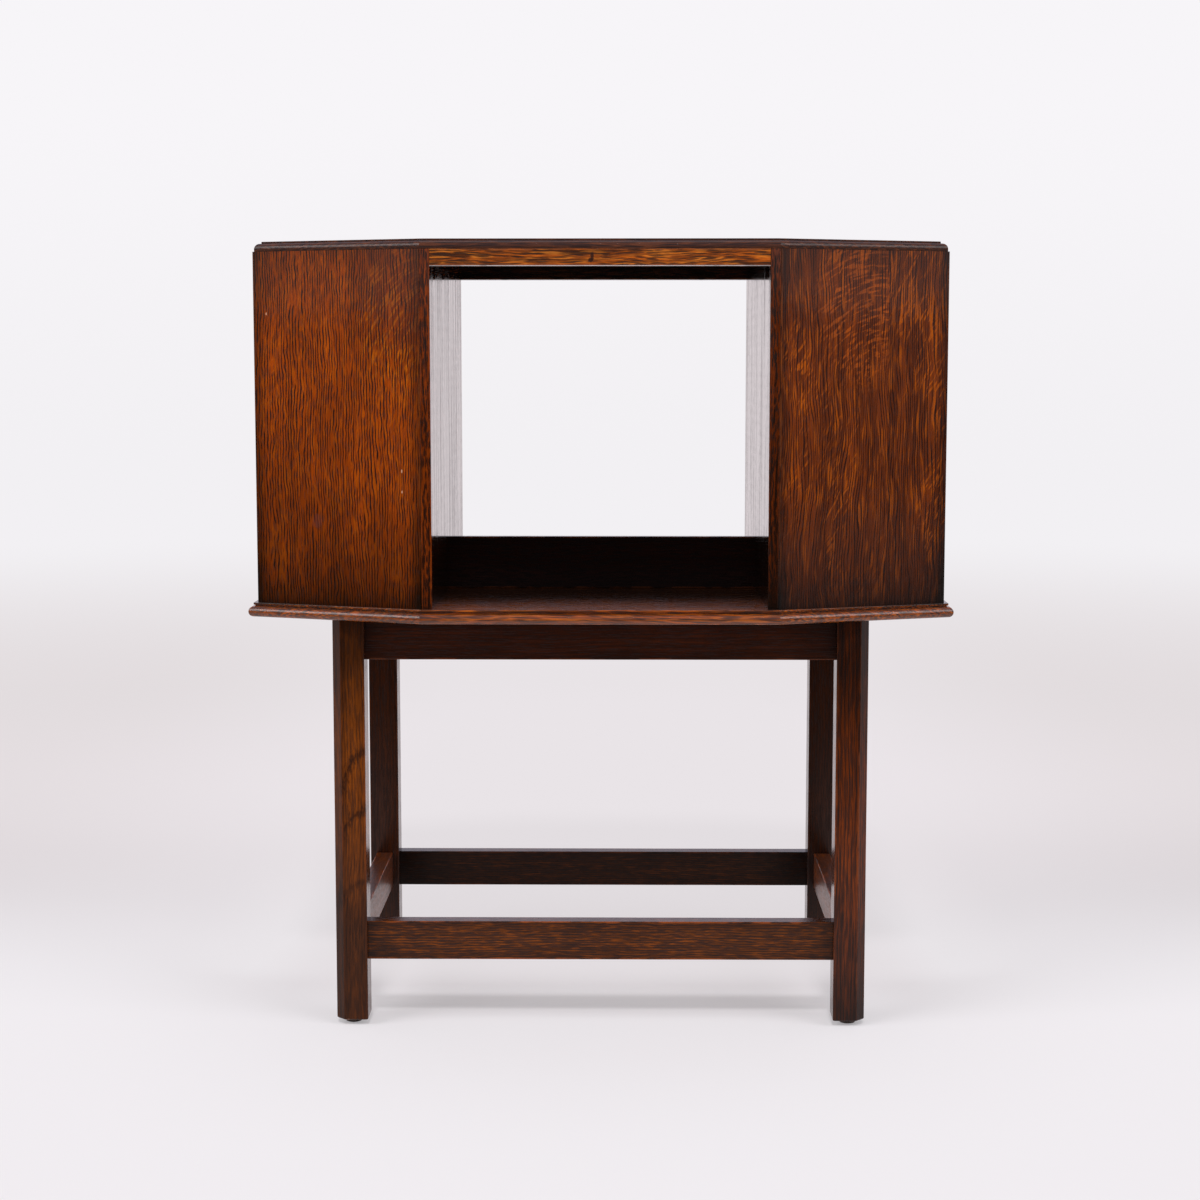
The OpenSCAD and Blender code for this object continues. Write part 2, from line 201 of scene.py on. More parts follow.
# Materials
def srgb(red, green, blue):
    # A colour as seen on a screen, 0 to 255, turned into the linear values that the nodes use.
    value = np.array([red, green, blue]) / 255
    linear = np.where(value <= 0.04045, value / 12.92, ((value + 0.055) / 1.055) ** 2.4)
    return (*linear.tolist(), 1)


def tones(look, *keys):
    return [srgb(*look[key]) for key in keys]


def newMaterial(name):
    material = bpy.data.materials.new(name)
    material.use_nodes = True
    material.node_tree.nodes.clear()
    return material, material.node_tree


def addNode(tree, kind, inputs=None, **settings):
    made = tree.nodes.new("ShaderNode" + kind)
    for label, value in settings.items():
        setattr(made, label, value)
    for label, value in (inputs or {}).items():
        if isinstance(value, bpy.types.NodeSocket):
            tree.links.new(value, made.inputs[label])
        else:
            made.inputs[label].default_value = value
    return made


def calc(tree, operation, first, second=0.0):
    return addNode(tree, "Math", {0: first, 1: second}, operation=operation).outputs[0]


def times(tree, first, second):
    return calc(tree, "MULTIPLY", first, second)


def vectorCalc(tree, operation, first, second=(0, 0, 0)):
    made = addNode(tree, "VectorMath", {0: first, 1: second}, operation=operation)
    return made.outputs["Value" if operation == "LENGTH" else "Vector"]


def fade(tree, value, start, end, top=1.0, bottom=0.0):
    # From bottom to top as the value goes from start to end, in a smooth step. Start may lie above end.
    return addNode(tree, "MapRange", {"Value": value, "From Min": start, "From Max": end, "To Min": bottom,
                                      "To Max": top}, interpolation_type="SMOOTHSTEP").outputs[0]


def blend(tree, share, first, second):
    return addNode(tree, "Mix", {0: share, 6: first, 7: second}, data_type="RGBA").outputs[2]


def split(tree, vector):
    return addNode(tree, "SeparateXYZ", {0: vector}).outputs


def noise(tree, vector, size, detail, rough=0.5, output="Fac"):
    # size is the length of one wave along each axis, in the units of the vector. The values lie mostly
    # between 0.3 and 0.7, and the fades that follow a noise say at which value their layer comes in.
    scaled = vectorCalc(tree, "MULTIPLY", vector, [1 / length for length in size])
    return addNode(tree, "TexNoise", {"Vector": scaled, "Scale": 1.0, "Detail": detail,
                                      "Roughness": rough}).outputs[output]


def warped(tree, vector, size, amount):
    # The vector moved sideways by a noise of this size, but not along the grain.
    drift = vectorCalc(tree, "SUBTRACT", noise(tree, vector, size, 1, output="Color"), (0.5, 0.5, 0.5))
    return vectorCalc(tree, "ADD", vector, vectorCalc(tree, "MULTIPLY", drift, (amount, amount, 0)))


# Coordinates in millimetres with x across a board's face, y into it and z along its grain.
def grainSpace(tree, along, across):
    along, across = np.array(along, float), np.array(across, float)
    depth = np.cross(along, across)
    turn = Matrix([across.tolist(), depth.tolist(), along.tolist()]).to_euler("XYZ")
    place = addNode(tree, "TexCoord").outputs["Object"]
    millimetres = vectorCalc(tree, "MULTIPLY", place, (1000, 1000, 1000))
    return addNode(tree, "Mapping", {"Vector": millimetres, "Rotation": turn}).outputs[0]


# The vector from a centre on the face, over the two radii of an oval.
def ovalSpace(tree, place, centre, radii=(1, 1)):
    away = vectorCalc(tree, "SUBTRACT", place, (centre[0], 0, centre[1]))
    return vectorCalc(tree, "MULTIPLY", away, (1 / radii[0], 0, 1 / radii[1]))


# Ray flecks along arcs about a centre: noise over (distance from the centre, length round it), inside
# a soft oval spot.
def arcFigure(tree, place, figure):
    offset = ovalSpace(tree, place, figure["centre"])
    x, _, z = split(tree, offset)
    turn = calc(tree, "ARCTAN2", z, x)
    polar = addNode(tree, "CombineXYZ", {0: vectorCalc(tree, "LENGTH", offset),
                                         2: times(tree, turn, figure["radius"])}).outputs[0]
    flecks = fade(tree, noise(tree, polar, (figure["width"], 1, figure["length"]), 1), 0.5, 0.62)
    spot = ovalSpace(tree, place, figure["spot"], figure["spotSize"])
    inside = fade(tree, vectorCalc(tree, "LENGTH", spot), 1.0, 0.5, figure["share"])
    return times(tree, flecks, inside)


# Short dashes along the grain: one round each point of a stretched Voronoi pattern, as far as reach.
def dashMarks(tree, vector, size, reach):
    cells = vectorCalc(tree, "MULTIPLY", vector, [1 / length for length in size])
    distance = addNode(tree, "TexVoronoi", {"Vector": cells, "Scale": 1.0, "Randomness": 0.85})
    return fade(tree, distance.outputs["Distance"], reach, 0.5 * reach)


# Fine lines along the grain: the sine of the distance across, x + 0.6 y, over the spacing.
def hairLines(tree, vector, spacing, length):
    x, y, _ = split(tree, vector)
    across = calc(tree, "ADD", x, times(tree, y, 0.6))
    wave = calc(tree, "SINE", times(tree, across, 2 * np.pi / spacing))
    broken = noise(tree, vector, (spacing, spacing, length), 1)
    return times(tree, fade(tree, wave, 0.1, 0.7), fade(tree, broken, 0.32, 0.52))


# A dark arch of plain-sawn wood: the upper half of the ellipse where the distance from the centre, over
# the two radii, is 1. Its edges are ragged.
def archBand(tree, place, arch):
    away = ovalSpace(tree, place, arch["centre"], arch["radii"])
    ring = calc(tree, "ABSOLUTE", calc(tree, "SUBTRACT", vectorCalc(tree, "LENGTH", away), 1.0))
    ragged = calc(tree, "ADD", ring, times(tree, noise(tree, place, (1.6, 3, 5), 2), 0.5))
    upper = fade(tree, split(tree, away)[2], -0.2, 0.2)
    return times(tree, fade(tree, ragged, 0.45, 0.2, arch["share"]), upper)


# A small mark with a ragged outline round a spot.
def smallMark(tree, place, mark):
    away = vectorCalc(tree, "LENGTH", ovalSpace(tree, place, mark["spot"], mark["size"]))
    ragged = calc(tree, "ADD", away, noise(tree, place, (1.5, 3, 3), 2))
    return fade(tree, ragged, 1.5, 1.1, mark["share"])


# The shader of a finish. What is the same all over is set on its own sockets.
def finish(tree, colour, roughness, height, distance, strength, others):
    bump = addNode(tree, "Bump", {"Strength": strength, "Distance": distance, "Height": height})
    shader = addNode(tree, "BsdfPrincipled", {
        "Base Color": colour, "Roughness": roughness, "Normal": bump.outputs[0], **others})
    addNode(tree, "OutputMaterial", {"Surface": shader.outputs[0]})


# What every oak board here has. A board's own dictionary changes what differs on it.
# Sizes are in millimetres, across the face, into it and along the grain. nickScale is in cells for each
# millimetre.
oakLook = {
    "dark": (44, 18, 8), "mid": (140, 62, 14), "light": (176, 84, 22), "worn": (160, 84, 34),
    "pore": (40, 22, 16),
    "wander": 14, "wiggle": 1.2, "wiggleSize": (7, 7, 22),
    "bandSize": (7, 30, 380), "bandShare": 0.3,
    "dashSize": (1.6, 1.6, 15), "dashReach": 0.6, "dashShare": 0.9,
    "streakSize": (2.2, 4, 60), "streakStart": 0.5, "streakShare": 0.3,
    "slant": 0.7, "slantSize": (1.8, 6, 12), "slantShare": 0.2,
    "lineSpacing": 2.8, "lineLength": 26, "lineShare": 0.3, "marks": [],
    "fineSize": (1.1, 1.1, 14), "fineShare": 0.45, "mottleShare": 0.2, "edgeDark": 0.35,
    "wornShare": 0.4, "nickShare": 0.5, "roughness": 0.18, "poreDepth": 0.02,
    "ripple": 0.02, "rippleSize": (5, 5, 260), "patchy": 0.0, "specular": 0.3, "joint": None,
    "figures": [], "arches": [], "polishedTo": None, "satin": 0.24,
    "mottleSize": (50, 50, 100), "wanderSize": (55, 55, 170), "rubSize": (6, 6, 20),
    "jointShift": (31, 70, 310), "nickScale": (0.025, 0.025, 0.012), "shadeDepth": 0.4,
    "poreRough": 0.1, "fineRelief": 0.6,
}


def oak(name, along, across, offset=(0, 0, 0), **changes):
    look = {**oakLook, **changes}
    material, tree = newMaterial(name)
    place = grainSpace(tree, along, across)
    grain = vectorCalc(tree, "ADD", place, offset)
    mottle = noise(tree, grain, look["mottleSize"], 2)
    if look["joint"] is not None:
        # Two widths of wood glued side by side: the figure jumps at the joint.
        beyond = calc(tree, "GREATER_THAN", split(tree, place)[0], look["joint"])
        grain = vectorCalc(tree, "ADD", grain, vectorCalc(tree, "MULTIPLY", beyond, look["jointShift"]))

    # The grain wanders slowly sideways along the board, and wiggles a little as it goes.
    wavy = warped(tree, grain, look["wanderSize"], look["wander"])
    wavy = warped(tree, wavy, look["wiggleSize"], look["wiggle"])
    bands = noise(tree, wavy, look["bandSize"], 3, 0.6)
    streaks = fade(tree, noise(tree, wavy, look["streakSize"], 1), look["streakStart"],
                   look["streakStart"] + 0.12, look["streakShare"])
    dashes = dashMarks(tree, wavy, look["dashSize"], look["dashReach"])
    fine = noise(tree, wavy, look["fineSize"], 2, 0.6)
    slanted = addNode(tree, "Mapping", {"Vector": wavy, "Rotation": (0, look["slant"], 0)}).outputs[0]
    rays = fade(tree, noise(tree, slanted, look["slantSize"], 1), 0.54, 0.64, look["slantShare"])
    rays = times(tree, rays, fade(tree, mottle, 0.42, 0.58))

    dark, mid, light, worn, pore = tones(look, "dark", "mid", "light", "worn", "pore")
    colour = blend(tree, fade(tree, bands, 0.62, 0.38, look["bandShare"]), mid, dark)
    colour = blend(tree, streaks, colour, light)
    colour = blend(tree, rays, colour, light)
    for figure in look["figures"]:
        flecks = arcFigure(tree, place, figure)
        if look["joint"] is not None:
            flecks = times(tree, flecks, calc(tree, "SUBTRACT", 1.0, beyond))
        colour = blend(tree, flecks, colour, srgb(*figure["tone"]))
    for arch in look["arches"]:
        colour = blend(tree, archBand(tree, place, arch), colour, dark)
    colour = blend(tree, times(tree, dashes, look["dashShare"]), colour, pore)
    lines = hairLines(tree, wavy, look["lineSpacing"], look["lineLength"])
    colour = blend(tree, times(tree, lines, look["lineShare"]), colour, pore)
    colour = blend(tree, fade(tree, fine, 0.42, 0.66, look["fineShare"]), colour, dark)
    colour = blend(tree, fade(tree, mottle, 0.56, 0.4, look["mottleShare"]), colour, dark)

    # Stain is darker towards the edges, and rubbed thin on the arrises themselves.
    edge = addNode(tree, "Attribute", attribute_name="edge").outputs["Fac"]
    shade = addNode(tree, "Attribute", attribute_name="shade").outputs["Fac"]
    colour = blend(tree, fade(tree, edge, 1.0, 0.0, look["edgeDark"]), colour, dark)
    rub = noise(tree, grain, look["rubSize"], 3)
    rubbed = calc(tree, "ADD", edge, fade(tree, rub, 0.35, 0.65, 0.1))
    colour = blend(tree, fade(tree, rubbed, 0.11, 0.02, look["wornShare"]), colour, worn)
    # The shade attribute darkens towards a share of the dark tone: painted shade on faces in shadow, and
    # darker tone elsewhere, as each piece's darkening says.
    colour = blend(tree, shade, colour, srgb(*[look["shadeDepth"] * part for part in look["dark"]]))

    # A few small pale nicks, one round some points of a wide Voronoi pattern.
    cells = vectorCalc(tree, "MULTIPLY", grain, look["nickScale"])
    nearest = addNode(tree, "TexVoronoi", {"Vector": cells, "Scale": 1.0, "Randomness": 1.0})
    nick = fade(tree, nearest.outputs["Distance"], 0.022, 0.012, look["nickShare"])
    colour = blend(tree, nick, colour, worn)
    for mark in look["marks"]:
        colour = blend(tree, smallMark(tree, place, mark), colour, srgb(*mark["tone"]))

    # Polish: pores are a little dull, and the planed face ripples.
    planed = noise(tree, wavy, look["rippleSize"], 2)
    ripple = times(tree, planed, look["ripple"])
    roughness = calc(tree, "ADD", look["roughness"], times(tree, dashes, look["poreRough"]))
    roughness = calc(tree, "ADD", roughness, fade(tree, planed, 0.4, 0.65, look["patchy"]))
    if look["polishedTo"] is not None:
        # A face at this depth or more is satin, and has no ripple.
        depth = calc(tree, "ABSOLUTE", split(tree, place)[1])
        polished = calc(tree, "LESS_THAN", depth, look["polishedTo"])
        satin = times(tree, calc(tree, "SUBTRACT", 1.0, polished), look["satin"])
        roughness = calc(tree, "ADD", roughness, satin)
        ripple = times(tree, ripple, polished)
    relief = calc(tree, "SUBTRACT", times(tree, fine, look["fineRelief"]), dashes)
    relief = times(tree, relief, look["poreDepth"])
    relief = calc(tree, "ADD", relief, ripple)
    finish(tree, colour, roughness, relief, mm, 1.0, {"IOR": 1.5, "Specular IOR Level": look["specular"]})
    return material


blockLook = {"dark": (128, 92, 58), "light": (166, 126, 84), "pore": (92, 62, 38), "poreShare": 0.4,
             "bandSize": (3, 12, 160), "fineSize": (0.8, 0.8, 12), "poreDepth": 0.15 * mm,
             "roughness": 0.72}


def bareTimber(name, along, across):
    material, tree = newMaterial(name)
    grain = grainSpace(tree, along, across)
    bands = noise(tree, grain, blockLook["bandSize"], 3, 0.6)
    fine = noise(tree, grain, blockLook["fineSize"], 2)
    dark, light, pore = tones(blockLook, "dark", "light", "pore")
    colour = blend(tree, fade(tree, bands, 0.35, 0.65), dark, light)
    colour = blend(tree, fade(tree, fine, 0.5, 0.7, blockLook["poreShare"]), colour, pore)
    finish(tree, colour, blockLook["roughness"], fine, blockLook["poreDepth"], 0.6, {})
    return material


def agedMetal(name, bright, dull, metallic, roughness):
    # Stains dull the metal and roughen it, and fine scratches give the bump.
    material, tree = newMaterial(name)
    place = vectorCalc(tree, "MULTIPLY", addNode(tree, "TexCoord").outputs["Object"], (1000, 1000, 1000))
    stain = noise(tree, place, (2.5, 2.5, 2.5), 4, 0.65)
    scratch = noise(tree, place, (0.25, 3, 3), 2)
    colour = blend(tree, fade(tree, stain, 0.4, 0.65), srgb(*bright), srgb(*dull))
    rough = calc(tree, "ADD", roughness, times(tree, stain, 0.25))
    finish(tree, colour, rough, scratch, 0.03 * mm, 0.5, {"Metallic": metallic})
    return material


# Case: panels, walls, divider and rails. On a panel, out is millimetres from its inner edge and down is
# millimetres from its top.
panelInner = (faceHalf * np.cos(cantAngle) - halfDepth * np.sin(cantAngle)) / mm
panelTop = topUnder / mm


def onPanel(out, down):
    return panelInner + out, panelTop - down


def panelMark(out, down, size, tone, share):
    return {"spot": onPanel(out, down), "size": size, "tone": tone, "share": share}


def rayFigure(centre, radius, width, length, spot, spotSize, tone, share):
    return {"centre": onPanel(*centre), "radius": radius, "width": width, "length": length,
            "spot": onPanel(*spot), "spotSize": spotSize, "tone": tone, "share": share}


nickTone = (196, 150, 120)
fineGrain = {
    "mid": (174, 72, 0), "light": (206, 102, 0), "dark": (46, 16, 0), "pore": (30, 20, 19),
    "streakSize": (3, 5, 22), "streakShare": 0.3, "bandSize": (9, 20, 260), "bandShare": 0.2,
    "dashSize": (1.4, 1.4, 12), "dashReach": 0.5, "dashShare": 0.45, "lineSpacing": 2.6, "lineLength": 20,
    "lineShare": 1.0, "wiggle": 3.0, "wiggleSize": (8, 8, 16), "specular": 0.24, "fineShare": 0.25,
}
boldGrain = {
    "mid": (138, 60, 12), "light": (196, 94, 6), "dark": (40, 18, 12), "wander": 16, "wiggle": 6,
    "wiggleSize": (10, 10, 46), "streakSize": (2.3, 6, 32), "streakStart": 0.54, "streakShare": 0.7,
    "dashSize": (1.2, 1.2, 9), "dashShare": 0.2, "bandSize": (9, 20, 200), "bandShare": 0.5,
    "slant": -0.45, "slantShare": 0.75, "slantSize": (2.2, 6, 16), "pore": (28, 16, 15), "fineShare": 0.15,
    "lineShare": 0.9, "lineSpacing": 2.3, "lineLength": 50, "specular": 0.26,
}
panelLooks = {
    "front_left": {
        **fineGrain,
        "marks": [panelMark(18, 190, (0.8, 1.9), nickTone, 0.9),
                  panelMark(18, 208, (0.8, 1.6), nickTone, 0.9),
                  panelMark(149, 54, (0.8, 1.6), nickTone, 0.7),
                  panelMark(101, 235, (6, 7), (84, 46, 44), 0.35),
                  panelMark(14, 30, (50, 62), (62, 34, 30), 0.3),
                  # Painted sheen: the last mark is a faint grey-blue haze over the panel's top, standing
                  # in for a reflection.
                  panelMark(85, 0, (170, 70), (93, 107, 104), 0.04)],
        "figures": [rayFigure((-57, 123), 140, 3.1, 24, (22, 62), (46, 88), (206, 103, 4), 0.9)]},
    "front_right": {
        **boldGrain, "joint": panelInner + 103,
        # Painted sheen: these marks are a faint grey haze over the panel's top and foot, standing in for
        # reflections.
        "marks": [panelMark(85, 0, (170, 70), (93, 107, 108), 0.05),
                  panelMark(85, 310, (170, 110), (93, 100, 100), 0.03)],
        "figures": [rayFigure((104, 128), 80, 3.2, 14, (74, 50), (50, 84), (196, 92, 18), 0.85)]},
    "back_left": {
        **boldGrain, "mid": (156, 68, 12), "light": (206, 100, 8), "joint": panelInner + 118,
        "figures": [rayFigure((110, 230), 90, 3.2, 14, (78, 150), (52, 90), (204, 98, 14), 0.85)]},
    "back_right": {**fineGrain, "joint": panelInner + 84},
}
# How much darker a panel is at its borders, and over what share of its height or width it fades.
panelDarkening = {"foot": 0.72, "footReach": 0.2, "top": 0.25, "topReach": 0.1,
              "inner": 0.45, "outer": 0.55, "sideReach": 0.08}


def cantedPanel(end, side):
    # The plan is a parallelogram: the outer face runs from the wall to the side face of the case.
    xSign, ySign = sideSigns[side], endSigns[end]
    inwards = case["panelThickness"] / np.cos(cantAngle)
    corners = np.array([[faceHalf, halfDepth], [faceHalf, halfDepth - inwards],
                        [halfWidth, sideHalf - inwards], [halfWidth, sideHalf]]) * [xSign, ySign]
    if xSign * ySign < 0:
        corners = corners[::-1]
    height = topUnder - shelfTop

    def darkening(x, y, z):
        up = (z - shelfTop) / height
        out = (np.abs(x) - faceHalf) / cantRun
        return (panelDarkening["foot"] * np.exp(-up / panelDarkening["footReach"])
                + panelDarkening["top"] * np.exp(-(1 - up) / panelDarkening["topReach"])
                + panelDarkening["inner"] * np.exp(-out / panelDarkening["sideReach"])
                + panelDarkening["outer"] * np.exp(-(1 - out) / panelDarkening["sideReach"]))

    name = f"canted_panel_{end}_{side}"
    profile = straight((0, shelfTop), (0, topUnder), spaced(shelfTop, topUnder))
    piece = loftPiece(name + "_board", corners, profile, shade=darkening)
    outwards = (xSign * np.cos(cantAngle), -ySign * np.sin(cantAngle), 0)
    offset = (310 * xSign, 90 * ySign, 0)       # each panel is cut from another part of the tree
    material = oak("oak_" + name, alongZ, outwards, offset, **panelLooks[f"{end}_{side}"])
    fit(piece, "oak_panel", material, name)


wallLook = {"mid": (150, 60, 2), "light": (196, 84, 0), "dark": (40, 15, 4), "worn": (186, 78, 8),
            "wornShare": 0.25, "wander": 8, "roughness": 0.04, "poreDepth": 0.004, "ripple": 1.2,
            "rippleSize": (24, 24, 260), "patchy": 0.12, "pore": (20, 10, 6), "dashSize": (1.3, 1.3, 9),
            "lineShare": 0.9, "lineSpacing": 2.6, "lineLength": 10, "specular": 0.48,
            "polishedTo": faceHalf / mm - 0.3}
# Painted shade: faces darkens a wall's faces as if in shadow, and outerShare of it falls on the outer
# faces. foot and all only make the wall darker.
wallDarkening = {"faces": 0.55, "outerShare": 0.3, "borderReach": 9 * mm, "foot": 0.5, "footReach": 60 * mm,
             "all": {"left": 0.12, "right": 0.52}}


def innerWall(side):
    xSign = sideSigns[side]
    inner, outer = sorted([xSign * bayHalf, xSign * faceHalf])
    corners = [[inner, -halfDepth], [outer, -halfDepth], [outer, halfDepth], [inner, halfDepth]]
    profile = straight((0, shelfTop), (0, topUnder), spaced(shelfTop, topUnder))

    def darkening(x, y, z):
        # Painted shade: the faces are darkened as if in shadow, most of all towards the through bay, and
        # the foot is darker too. The front and back edges are paler, and the right wall is darker than the
        # left one all over.
        faces = wallDarkening["faces"] * np.clip((halfDepth - np.abs(y)) / wallDarkening["borderReach"], 0, 1)
        faces = faces * np.where(np.abs(x) > faceHalf - 0.1 * mm, wallDarkening["outerShare"], 1)
        foot = wallDarkening["foot"] * np.exp(-(z - shelfTop) / wallDarkening["footReach"])
        return faces + foot + wallDarkening["all"][side]

    piece = loftPiece(f"inner_wall_{side}_board", corners, profile, shade=darkening)
    material = oak(f"oak_inner_wall_{side}", alongZ, alongY, (0, 0, 70 * xSign), **wallLook)
    fit(piece, "oak_wall", material, f"inner_wall_{side}")


def railBox(name, slot, lowCorner, highCorner, axis, shade=None, **look):
    # A board along x or y: its section is the rectangle between the two corners in the other axes.
    order = {"x": (1, 2, 0), "y": (2, 0, 1)}[axis]
    (p0, q0, s0), (p1, q1, s1) = np.array(lowCorner)[list(order)], np.array(highCorner)[list(order)]
    corners = [[p0, q0], [p1, q0], [p1, q1], [p0, q1]]
    piece = loftPiece(name + "_board", corners, straight((0, s0), (0, s1), spaced(s0, s1)), axis=axis,
                      shade=shade)
    along = {"x": alongX, "y": alongY}[axis]
    # The pattern is moved by the name's length and the board's place, so that boards differ.
    offset = (37.0 * len(name), 11.0 * lowCorner[1] / mm, 5.0 * lowCorner[0] / mm)
    fit(piece, slot, oak("oak_" + name, along, alongZ, offset, **look), name)


for end in endSigns:
    for side in sideSigns:
        cantedPanel(end, side)
for side in sideSigns:
    innerWall(side)
print("panels and walls made")

railLook = {"mid": (198, 96, 12), "light": (232, 134, 40), "dark": (48, 20, 2), "pore": (44, 26, 12),
            "dashSize": (1.1, 1.1, 16), "bandSize": (5, 20, 70), "bandShare": 0.9,
            "streakSize": (2.4, 5, 30), "streakShare": 0.6, "lineShare": 0.5, "lineSpacing": 2.2,
            "wiggle": 2, "wiggleSize": (4, 4, 22), "edgeDark": 0.3, "slantShare": 0.05}
# Painted shade: the back and side rails are a darker copy of the rail, standing in for the shadow they lie
# in under the top board.
shadedRailLook = {**railLook, "mid": (70, 34, 18), "light": (100, 50, 24), "dark": (24, 12, 8),
                "pore": (18, 9, 7)}
# Painted shade: the divider is near black, standing in for the shadow deep inside the bay.
shadedDividerLook = {"mid": (22, 7, 4), "light": (30, 10, 6), "dark": (10, 3, 2), "pore": (8, 3, 2),
               "wornShare": 0.1, "specular": 0.08}
# A comma-shaped mark of two spots. On a rail, places are its height and its distance along.
comma = [{"spot": (panelTop - 6.5, -6.5), "size": (3.6, 1.9), "tone": (36, 16, 8), "share": 0.9},
         {"spot": (panelTop - 9.5, -8), "size": (2.2, 2.6), "tone": (36, 16, 8), "share": 0.9}]
for name, slot, look in [("top_rail_front", "oak_rail", {**railLook, "marks": comma}),
                         ("top_rail_back", "oak_rail", shadedRailLook),
                         ("centre_divider", "oak_wall", shadedDividerLook)]:
    boardLow, boardHigh = low(name), high(name)
    railBox(name, slot, (-bayHalf, *boardLow[1:]), (bayHalf, *boardHigh[1:]), "x", **look)


def sideRail(side):
    # The plan is a trapezium whose ends follow the canted panels' inner faces.
    xSign = sideSigns[side]
    name = f"top_rail_{side}"
    inwards = case["panelThickness"] / np.cos(cantAngle)
    deep = high(name)[0] - low(name)[0]
    outerHalf = sideHalf - inwards
    innerHalf = outerHalf + np.tan(cantAngle) * deep
    outerX, innerX = xSign * halfWidth, xSign * (halfWidth - deep)
    corners = np.array([[outerX, -outerHalf], [outerX, outerHalf],
                        [innerX, innerHalf], [innerX, -innerHalf]])
    if xSign < 0:
        corners = corners[::-1]
    piece = loftPiece(name + "_board", corners, straight((0, low(name)[2]), (0, topUnder), 2),
                      radius=case["railArris"])
    fit(piece, "oak_rail", oak("oak_" + name, alongY, alongZ, (0, 0, 40 * xSign), **shadedRailLook), name)


for side in sideSigns:
    sideRail(side)


# Boards with moulded edges
def casePlan():
    # The eight corners of the case, anticlockwise from the front right of the front face.
    quarter = np.array([[faceHalf, -halfDepth], [halfWidth, -sideHalf]])
    half = np.concatenate([quarter, quarter[::-1] * [1, -1]])
    return np.concatenate([half, -half])


# underRim and upperRim are how far the flat faces run inwards before the cap closes them.
topBoard = {
    "inset": 1.3 * mm, "straight": 2.2 * mm, "roundRadius": 5 * mm, "flat": 1 * mm,
    "arris": 0.5 * mm, "underArris": 0.3 * mm, "underRim": 30 * mm, "upperRim": 90 * mm,
    "mitre": 0.6 * mm,
    "look": {"mid": (84, 44, 24), "light": (124, 66, 32), "dark": (30, 16, 12), "worn": (104, 64, 44),
             "streakSize": (3, 3, 90), "streakShare": 0.4, "dashSize": (1.7, 1.7, 24), "roughness": 0.2,
             "edgeDark": 0.2, "wornShare": 0.25, "specular": 0.31},
}
floorBoard = {
    "noseReach": 8 * mm, "noseRadius": 4.65 * mm, "filletReach": 3.7 * mm, "filletHeight": 1.8 * mm,
    "quirkDepth": 1.3 * mm, "arris": 0.35 * mm, "underRim": 40 * mm, "middleRim": 20 * mm,
    # shelfDark and cantDark are painted shade, on the shelf inside the bay and on the canted edges.
    "upperRim": 100 * mm, "mitre": 0.5 * mm, "shelfDark": 0.95, "shelfReach": 50 * mm, "cantDark": 0.25,
    "look": {"mid": (195, 90, 2), "light": (218, 115, 20), "dark": (50, 20, 0), "worn": (200, 104, 30),
             "dashSize": (1.2, 1.2, 20), "dashShare": 0.9, "streakSize": (2, 4, 40), "streakShare": 0.5,
             "bandSize": (3.4, 20, 100), "bandShare": 0.7, "lineShare": 0.5, "lineLength": 24,
             "lineSpacing": 2.3, "wiggle": 1.5, "wiggleSize": (6, 6, 40), "wornShare": 0.25,
             "edgeDark": 0.2, "roughness": 0.19, "poreDepth": 0.005, "specular": 0.64},
}


def makeTopBoard():
    # From the underside outwards and up: short straight edge, quarter round, flat, square step, top.
    rise, r, under = topUnder + topBoard["straight"], topBoard["roundRadius"], topBoard["underArris"]
    out, soft = -topBoard["inset"], topBoard["arris"]
    stepOut = out - r - topBoard["flat"]
    profile = (straight((-topBoard["underRim"], topUnder), (out - under, topUnder))
               + curved((out - under, topUnder + under), under, -90, 0, 2)
               + straight((out, topUnder + under), (out, rise))
               + curved((out - r, rise), r, 0, 90, 8)
               + straight((out - r, rise + r), (stepOut, rise + r))
               + straight((stepOut, rise + r), (stepOut, topHigh - soft))
               + curved((stepOut - soft, topHigh - soft), soft, 0, 90, 3)
               + straight((stepOut - soft, topHigh), (stepOut - feather, topHigh), 3)
               + straight((stepOut - feather, topHigh), (stepOut - topBoard["upperRim"], topHigh)))
    piece = loftPiece("top_board_wood", casePlan(), profile, radius=topBoard["mitre"],
                      arrises=[(stepOut, topHigh), (out, topUnder)])
    fit(piece, "oak_top", oak("oak_top_board", alongX, alongY, **topBoard["look"]), "top_board")


